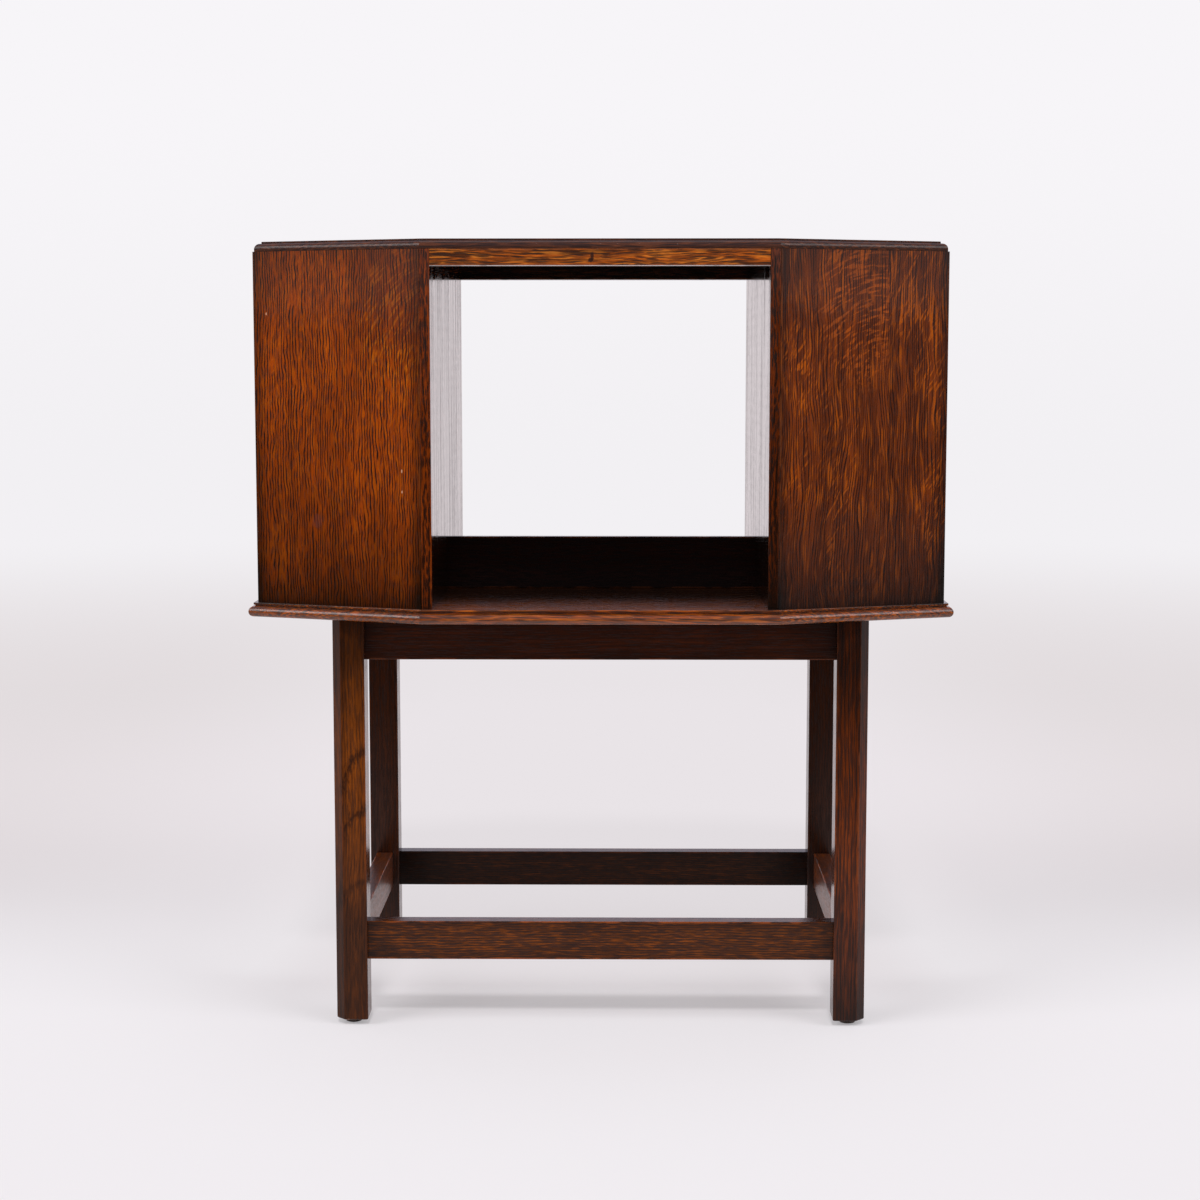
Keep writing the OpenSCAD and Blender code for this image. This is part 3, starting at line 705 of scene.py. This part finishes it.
def makeFloorBoard():
    # From the underside outwards and up: round nose, quirk line, square fillet, upper face.
    reach, r = floorBoard["noseReach"], floorBoard["noseRadius"]
    fillet, quirk = floorBoard["filletReach"], floorBoard["filletReach"] - floorBoard["quirkDepth"]
    filletLow = shelfTop - floorBoard["filletHeight"]
    noseEnd = floorLow + 2 * r
    soft, middle = floorBoard["arris"], -floorBoard["middleRim"]
    profile = (straight((-floorBoard["underRim"], floorLow), (reach - r, floorLow))
               + curved((reach - r, floorLow + r), r, -90, 90, 14)
               + straight((reach - r, noseEnd), (quirk, noseEnd))
               + straight((quirk, noseEnd), (quirk, filletLow))
               + straight((quirk, filletLow), (fillet - soft, filletLow))
               + curved((fillet - soft, filletLow + soft), soft, -90, 0, 2)
               + straight((fillet, filletLow + soft), (fillet, shelfTop - soft))
               + curved((fillet - soft, shelfTop - soft), soft, 0, 90, 2)
               + straight((fillet - soft, shelfTop), (middle, shelfTop), 3)
               + straight((middle, shelfTop), (-floorBoard["upperRim"], shelfTop)))

    def shadedBay(x, y, z):
        # Painted shade: the shelf is darkened towards its middle, inside the bay, and the canted edges are
        # darker than the straight ones, standing in for how light falls on them.
        inwards = np.clip((halfDepth - np.abs(y)) / floorBoard["shelfReach"], 0, 1)
        shelf = floorBoard["shelfDark"] * (z > shelfTop - mm) * inwards
        return np.maximum(shelf, floorBoard["cantDark"] * (np.abs(x) > faceHalf))

    piece = loftPiece("floor_board_wood", casePlan(), profile, radius=floorBoard["mitre"],
                      arrises=[(reach, floorLow + r), (fillet, shelfTop)], shade=shadedBay)
    fit(piece, "oak_floor", oak("oak_floor_board", alongX, alongY, (0, 0, 55), **floorBoard["look"]),
        "floor_board")


makeTopBoard()
makeFloorBoard()
print("boards made")

# Joined frame
leg = {"chamfer": 7.5 * mm, "footEase": 1.5 * mm, "arris": 0.9 * mm, "ringStep": 6 * mm, "darkest": 0.85}
frameLook = {"mid": (124, 60, 22), "light": (160, 76, 24), "dark": (34, 16, 10), "worn": (172, 84, 30),
             "dashSize": (1.4, 1.4, 18), "dashShare": 0.45, "bandSize": (2.6, 20, 200), "bandShare": 0.3,
             "streakSize": (1.8, 4, 90), "streakShare": 0.3, "slantShare": 0.0, "wander": 10,
             "lineShare": 0.4, "fineShare": 0.3, "pore": (40, 28, 26),
             "edgeDark": 0.3, "wornShare": 0.45, "roughness": 0.18, "poreDepth": 0.008, "specular": 0.2}
# A leg's darkening says how dark it is at its top and foot, and over how many millimetres it fades
# there, and how dark the cut corner and the faces under the table are. The dark top is painted shade
# under the case, added to the real shadow there, and the dark faces under the table are painted shade.
backLegLook = {"mid": (124, 60, 20), "light": (156, 76, 22)}
backLegDarkening = {"top": 0.1, "topReach": 80, "foot": 0.1, "footReach": 60, "cut": 0.1}
legs = {
    "front_left": {
        "darkening": {"top": 1.05, "topReach": 110, "foot": 1.8, "footReach": 105, "cut": 0.2, "inner": 0},
        # On a leg, places are x and z in millimetres.
        "look": {"mid": (188, 96, 20), "light": (202, 104, 22), "specular": 0.15,
                 "arches": [{"centre": (-206, 205), "radii": (23, 46), "share": 0.75},
                            {"centre": (-206, 168), "radii": (24, 28), "share": 0.75},
                            {"centre": (-206, 112), "radii": (24, 20), "share": 0.5}],
                 "marks": [{"spot": (-227, 3.5), "size": (3, 3), "tone": (166, 116, 92), "share": 0.8}]}},
    "front_right": {
        "darkening": {"top": 1.2, "topReach": 120, "foot": 0.9, "footReach": 100, "cut": 0, "inner": 0},
        "look": {"mid": (142, 61, 10), "light": (186, 84, 12), "dashSize": (1.3, 1.3, 26),
                 "dashShare": 0.7, "lineShare": 0.7, "lineLength": 34, "lineSpacing": 3.1}},
    "back_left": {"darkening": {**backLegDarkening, "inner": 0.7}, "look": backLegLook},
    "back_right": {"darkening": {**backLegDarkening, "inner": 0.78}, "look": backLegLook},
}


def makeLeg(end, side):
    # A square section with its outer corner cut off. The foot's edges are eased all round.
    name = f"leg_{end}_{side}"
    inner, outer = low(name), high(name)
    xSign, ySign = sideSigns[side], endSigns[end]
    x0, x1 = (inner[0], outer[0]) if xSign > 0 else (outer[0], inner[0])
    y0, y1 = (inner[1], outer[1]) if ySign > 0 else (outer[1], inner[1])
    cut = leg["chamfer"]
    corners = np.array([[x0, y0], [x1, y0], [x1, y1 - ySign * cut], [x1 - xSign * cut, y1], [x0, y1]])
    if xSign * ySign < 0:
        corners = corners[::-1]
    foot, top, ease = legFoot, outer[2], leg["footEase"]
    profile = (curved((-ease, foot + ease), ease, -90, 0, 4)
               + straight((0, foot + ease), (0, top), spaced(foot, top, leg["ringStep"])))

    dark = legs[f"{end}_{side}"]["darkening"]

    def darkening(x, y, z):
        # beyond is how far a point lies past the cut corner's face, and within how far from an inner
        # face, both in millimetres.
        beyond = (np.abs(x) + np.abs(y) - abs(x1) - abs(y1) + cut) / mm
        within = np.minimum(np.abs(x - x0), np.abs(y - y0)) / mm
        # The top is painted shade under the case, and inner is painted shade on a back leg's faces under
        # the table. The foot and the cut corner are only darker.
        shade = (dark["top"] * np.exp(-(top - z) / (dark["topReach"] * mm))
                 + dark["cut"] * np.clip(beyond + 0.6, 0, 1) + dark["inner"] * np.clip(2 - within, 0, 1)
                 + dark["foot"] * np.exp(-(z - foot) / (dark["footReach"] * mm)))
        return np.minimum(shade, leg["darkest"])

    piece = loftPiece(name + "_post", corners, profile, radius=leg["arris"], shade=darkening)
    offset = (60 * xSign, 33 * ySign, 45 * xSign + 20 * ySign)
    look = {**frameLook, **legs[f"{end}_{side}"]["look"]}
    fit(piece, "oak_frame", oak("oak_" + name, alongZ, alongX, offset, **look), name)


for end in endSigns:
    for side in sideSigns:
        makeLeg(end, side)

legInnerX, legInnerY = low("leg_back_right")[:2]
barLooks = {
    # Painted shade: the apron is toned darker than the stretcher, standing in for the shadow under the
    # board, added to the real shadow there.
    "apron": {**frameLook, "mid": (64, 28, 12), "light": (94, 40, 13), "dark": (22, 11, 7),
              "wornShare": 0.2},
    "stretcher": {**frameLook, "mid": (97, 48, 9), "light": (140, 69, 11), "dashSize": (1.1, 1.1, 11),
                  "dashShare": 0.7, "streakSize": (1.8, 4, 20), "streakShare": 0.55, "bandShare": 0.45,
                  "lineShare": 0.9, "lineLength": 12, "lineSpacing": 2.3, "wiggle": 1.2,
                  "wiggleSize": (5, 5, 18), "specular": 0.13},
}
backBarChange = {"specular": 0.1}
sideBarChange = {"mid": (110, 62, 42), "dashShare": 0.0, "fineShare": 0.0, "lineShare": 0.1,
                 "poreDepth": 0.0, "roughness": 0.3, "specular": 0.14}
# Painted shade: face darkens a back bar's face that is turned to the front. ends darkens the bars by the
# legs.
barDarkening = {"ends": 0.5, "endReach": 25 * mm, "face": {"front": 0, "back": 0.7}, "darkest": 0.9}


def makeBars(kind, look):
    for end in endSigns:
        name = f"{kind}_{end}"
        barLow, barHigh = low(name), high(name)

        def darkening(x, y, z):
            # Dark at both ends by the legs, and painted shade on the face of a back bar that is turned to
            # the front, under the table.
            ends = barDarkening["ends"] * np.exp(-(legInnerX - np.abs(x)) / barDarkening["endReach"])
            face = barDarkening["face"][end] * np.clip(2 - (y - barLow[1]) / mm, 0, 1)
            return np.minimum(ends + face, barDarkening["darkest"])

        barLook = look if end == "front" else {**look, **backBarChange}
        railBox(name, "oak_frame", (-legInnerX, *barLow[1:]), (legInnerX, *barHigh[1:]), "x", shade=darkening,
                **barLook)
    for side in sideSigns:
        name = f"{kind}_{side}"
        barLow, barHigh = low(name), high(name)
        railBox(name, "oak_frame", (barLow[0], -legInnerY, barLow[2]), (barHigh[0], legInnerY, barHigh[2]),
                "y", **{**look, **sideBarChange})


for kind, look in barLooks.items():
    makeBars(kind, look)
print("frame made")

# Small hardware keeps its solids.
glideLook = {"bright": (74, 64, 58), "dull": (34, 28, 26), "metallic": 0.7, "roughness": 0.35}
screwLook = {"bright": (168, 138, 86), "dull": (96, 76, 48), "metallic": 0.9, "roughness": 0.3}
hardware = {
    "foot_glide": agedMetal("aged_glide_steel", **glideLook),
    "_screws": agedMetal("aged_screw_brass", **screwLook),
    "corner_block": bareTimber("bare_block_timber", (0.7071, 0.7071, 0), alongZ),
}
for part, material in hardware.items():
    for name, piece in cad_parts.items():
        if part in name:
            piece.data.materials.clear()
            piece.data.materials.append(material)
print("hardware finished")

# Stage: the floor is lit near the table, and glows evenly like a swept backdrop further out.
# A pair of places in metres says from where to where a tone or a glow fades in.
stageLook = {
    "near": (240, 237, 240), "far": (232, 227, 230), "aside": (226, 220, 222), "horizon": (242, 240, 243),
    "farFrom": (0.4, 1.8), "backFrom": (-0.05, 0.6), "asideFrom": (0.25, 0.9), "horizonFrom": (1.8, 5.5),
    "glow": 0.36, "glowFrom": (0.9, 2.2),
    # Painted shade and light: behindFrom, underTo, glowUnder and glowUnderTo give the floor under the
    # table the far tone and a glow, thinning its real shadow.
    "behindFrom": (-0.09, 0.05), "underTo": (0.36, 0.24), "glowUnder": 0.8, "glowUnderTo": (0.62, 0.22),
    "unlit": (60, 58, 60), "unlitFrom": (-0.4, -1.4),
    "floorRadius": 9.0, "floorRings": 24, "floorSides": 64,
}
# The room's pairs are parts of the unit vector along a ray: up, to the back or sideways.
roomLook = {
    "horizon": stageLook["horizon"], "sky": (247, 245, 248), "skyFrom": (-0.06, 0.12),
    "mirrored": (247, 237, 240), "mirroredAbove": (236, 232, 255), "aboveFrom": (0.02, 0.3),
    "behindFrom": (0.7, 0.96), "besideFrom": (0.75, 0.95), "beside": 0.8,
    "ceilingFrom": (0.02, 0.05), "ceiling": 0.64, "dim": 0.04, "plainLight": 0.45,
}


def makeFloor():
    # Rings of radius r, points (r cos a, r sin a, 0), widening away from the table.
    rings, sides = stageLook["floorRings"], stageLook["floorSides"]
    radius = stageLook["floorRadius"] * np.linspace(0.01, 1, rings) ** 2
    angle = np.linspace(0, 2 * np.pi, sides, endpoint=False)
    place = np.stack([radius[:, None] * np.cos(angle), radius[:, None] * np.sin(angle),
                      0 * radius[:, None] + 0 * angle], -1)
    quads = ringQuads(rings, sides)[:, ::-1]       # turned over, so that they face upwards
    mesh = bpy.data.meshes.new("studio_floor")
    mesh.from_pydata(place.reshape(-1, 3).tolist(), [], quads.tolist() + [list(range(sides))])
    floor = linked("studio_floor", mesh)

    material, tree = newMaterial("pale_floor")
    place = addNode(tree, "TexCoord").outputs["Object"]
    away = vectorCalc(tree, "LENGTH", place)
    x, y, _ = split(tree, place)
    beside = calc(tree, "ABSOLUTE", x)
    path = addNode(tree, "LightPath").outputs
    near, far, aside, horizon, unlit = tones(stageLook, "near", "far", "aside", "horizon", "unlit")
    mirrored = srgb(*roomLook["mirrored"])

    # The floor's tone changes with the distance, and under the table it is as in the distance: with the
    # glow below, that darker tone is a painted, thinner shadow there.
    far = blend(tree, fade(tree, beside, *stageLook["asideFrom"]), far, aside)
    behind = fade(tree, y, *stageLook["behindFrom"])
    under = times(tree, behind, fade(tree, beside, *stageLook["underTo"]))
    farness = calc(tree, "MAXIMUM", fade(tree, away, *stageLook["farFrom"]),
                   fade(tree, y, *stageLook["backFrom"]))
    farness = calc(tree, "MAXIMUM", farness, under)
    tone = blend(tree, farness, near, far)
    tone = blend(tree, fade(tree, away, *stageLook["horizonFrom"]), tone, horizon)
    paint = addNode(tree, "BsdfDiffuse", {"Color": tone, "Roughness": 0.0})

    # It glows in part near the table, wholly further out, and enough under the table to thin the shadow.
    seen = calc(tree, "MAXIMUM", path["Is Camera Ray"], path["Is Glossy Ray"])
    seen = calc(tree, "MAXIMUM", seen, path["Is Transmission Ray"])
    seenTone = blend(tree, path["Is Glossy Ray"], tone, mirrored)
    glow = addNode(tree, "Emission", {"Color": seenTone, "Strength": 1.0})
    glowing = fade(tree, away, *stageLook["glowFrom"], 1.0, stageLook["glow"])
    glowingUnder = fade(tree, beside, *stageLook["glowUnderTo"], stageLook["glowUnder"])
    glowingUnder = times(tree, behind, glowingUnder)
    glowing = calc(tree, "MAXIMUM", glowing, glowingUnder)
    mixed = addNode(tree, "MixShader", {0: times(tree, glowing, seen), 1: paint.outputs[0],
                                        2: glow.outputs[0]})

    # The side of the room in front of the table is unlit, which only reflections show.
    toFront = fade(tree, y, *stageLook["unlitFrom"])
    dark = addNode(tree, "Emission", {"Color": unlit, "Strength": 1.0})
    mixed = addNode(tree, "MixShader", {0: times(tree, toFront, path["Is Glossy Ray"]),
                                        1: mixed.outputs[0], 2: dark.outputs[0]})
    addNode(tree, "OutputMaterial", {"Surface": mixed.outputs[0]})
    mesh.materials.append(material)


def makeWorld():
    # The camera sees a pale backdrop. Reflections see it too behind the table, with a dim room in front
    # and a paler ceiling. All other light is even.
    world = bpy.data.worlds.new("pale_room")
    bpy.context.scene.world = world
    world.use_nodes = True
    tree = world.node_tree
    tree.nodes.clear()
    direction = addNode(tree, "TexCoord").outputs["Generated"]
    x, y, z = split(tree, direction)
    path = addNode(tree, "LightPath").outputs
    glossy = calc(tree, "MAXIMUM", path["Is Glossy Ray"], path["Is Transmission Ray"])
    horizon, sky, mirrored, above = tones(roomLook, "horizon", "sky", "mirrored", "mirroredAbove")
    backdrop = blend(tree, fade(tree, z, *roomLook["skyFrom"]), horizon, sky)
    mirror = blend(tree, fade(tree, z, *roomLook["aboveFrom"]), mirrored, above)
    backdrop = blend(tree, glossy, backdrop, mirror)
    behind = fade(tree, y, *roomLook["behindFrom"])
    beside = fade(tree, calc(tree, "ABSOLUTE", x), *roomLook["besideFrom"], roomLook["beside"])
    ceiling = fade(tree, z, *roomLook["ceilingFrom"], roomLook["ceiling"])
    shown = calc(tree, "MAXIMUM", calc(tree, "MAXIMUM", behind, beside),
                 calc(tree, "MAXIMUM", ceiling, roomLook["dim"]))
    level = addNode(tree, "Mix", {0: glossy, 2: roomLook["plainLight"], 3: shown}).outputs[0]
    level = addNode(tree, "Mix", {0: path["Is Camera Ray"], 2: level, 3: 1.0}).outputs[0]
    light = addNode(tree, "Background", {"Color": backdrop, "Strength": level})
    addNode(tree, "OutputWorld", {"Surface": light.outputs[0]})


# Azimuth from the front towards the right, elevation, strength, width, and whether reflections show it.
# Angles are in degrees.
suns = {
    "left_soft": (-60, 35, 1.0, 34, True),
    "right_soft": (60, 35, 0.75, 34, True),
    "front_soft": (0, 51, 1.1, 7, False),
    "overhead_soft": (170, 80, 0.15, 30, True),
}


def makeSun(name, azimuth, elevation, strength, width, mirrored):
    # The light comes from (sin azimuth cos elevation, -cos azimuth cos elevation, sin elevation).
    data = bpy.data.lights.new(name, "SUN")
    data.energy = strength
    data.angle = np.radians(width)
    lamp = linked(name, data)
    lamp.visible_glossy = mirrored
    a, e = np.radians(azimuth), np.radians(elevation)
    source = Vector((np.sin(a) * np.cos(e), -np.cos(a) * np.cos(e), np.sin(e)))
    lamp.rotation_euler = source.to_track_quat("Z", "Y").to_euler()


makeFloor()
makeWorld()
for name, sun in suns.items():
    makeSun(name, *sun)
print("stage made")

camera = {"place": (0.0202, -2.102, 0.5977), "turn": (83.775, 0.0, 0.60), "lens": 66.69, "sensor": 36}
cameraData = bpy.data.cameras.new("camera")
cameraData.lens = camera["lens"]
cameraData.sensor_width = camera["sensor"]
cameraObject = linked("camera", cameraData)
cameraObject.location = camera["place"]
cameraObject.rotation_euler = np.radians(camera["turn"]).tolist()
bpy.context.scene.camera = cameraObject
bpy.context.scene.view_settings.view_transform = "Standard"

print("scene ready")
